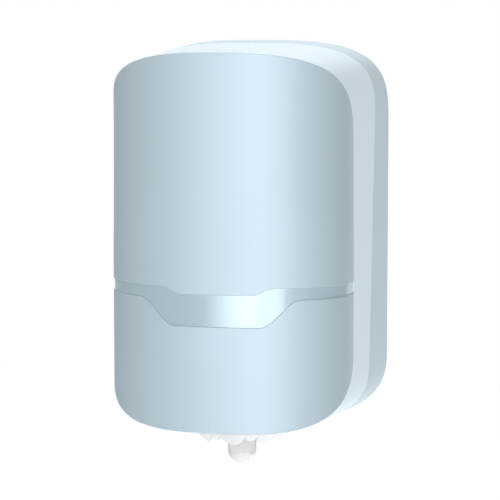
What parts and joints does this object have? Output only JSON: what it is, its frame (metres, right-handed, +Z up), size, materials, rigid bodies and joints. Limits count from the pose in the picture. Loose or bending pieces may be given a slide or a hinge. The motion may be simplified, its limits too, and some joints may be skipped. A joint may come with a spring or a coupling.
{
  "type": "centrefeed roll dispenser",
  "caption": "Wall dispenser for a centrefeed paper roll: a bowed cover that hinges open at the bottom, a recessed window band, a sprung latch and a swivelling nozzle in a petalled skirt.",
  "frame": {"origin": "middle of the flat back of the housing, in the plane of the wall", "axes": "+X to the right as seen from the front, +Y back to the wall, +Z up"},
  "size_m": [0.265, 0.222, 0.4243],
  "materials": {
    "grey_housing": "satin moulded grey-blue plastic",
    "white_plastic": "pale satin moulded plastic",
    "blue_panel": "glossy pale blue plastic",
    "clear_window": "clear glossy window plastic",
    "inner_plastic": "off-white moulded plastic",
    "latch_plastic": "smooth white plastic",
    "steel": "zinc-plated steel"
  },
  "bodies": {
    "housing": {"back_housing": "grey_housing", "roll_platform": "inner_plastic", "funnel": "inner_plastic", "petal_skirt": "white_plastic", "latch_bracket": "inner_plastic", "latch_cap": "inner_plastic", "platform_screw_1": "steel", "platform_screw_2": "steel", "platform_screw_3": "steel", "platform_screw_4": "steel", "skirt_screw_1": "steel", "skirt_screw_2": "steel", "skirt_screw_3": "steel", "skirt_screw_4": "steel", "bracket_screw_left": "steel", "bracket_screw_right": "steel", "latch_cap_screw_left": "steel", "latch_cap_screw_right": "steel", "hinge_pin_left": "steel", "hinge_pin_right": "steel"},
    "cover": {"cover_shell": "white_plastic", "upper_front_panel": "blue_panel", "window_band": "clear_window", "lower_front_panel": "blue_panel"},
    "bolt": {"latch_bolt": "latch_plastic", "latch_spring": "steel"},
    "nozzle": {"nozzle": "white_plastic"}
  },
  "joints": [
    {"name": "cover_hinge", "type": "hinge", "parent": "housing", "child": "cover", "pos_m": [0, -0.07976, -0.17704], "axis": [1, 0, 0], "range_deg": [0, 90]},
    {"name": "latch_slide", "type": "slide", "parent": "housing", "child": "bolt", "axis": [0, 0, -1], "range_m": [0, 0.005], "stiffness_N_per_m": 300, "springref_m": -0.004, "deforming": ["latch_spring"]},
    {"name": "nozzle_swivel", "type": "hinge", "parent": "housing", "child": "nozzle", "pos_m": [0, -0.104, -0.195], "axis": [0, 0, 1], "continuous": true}
  ]
}
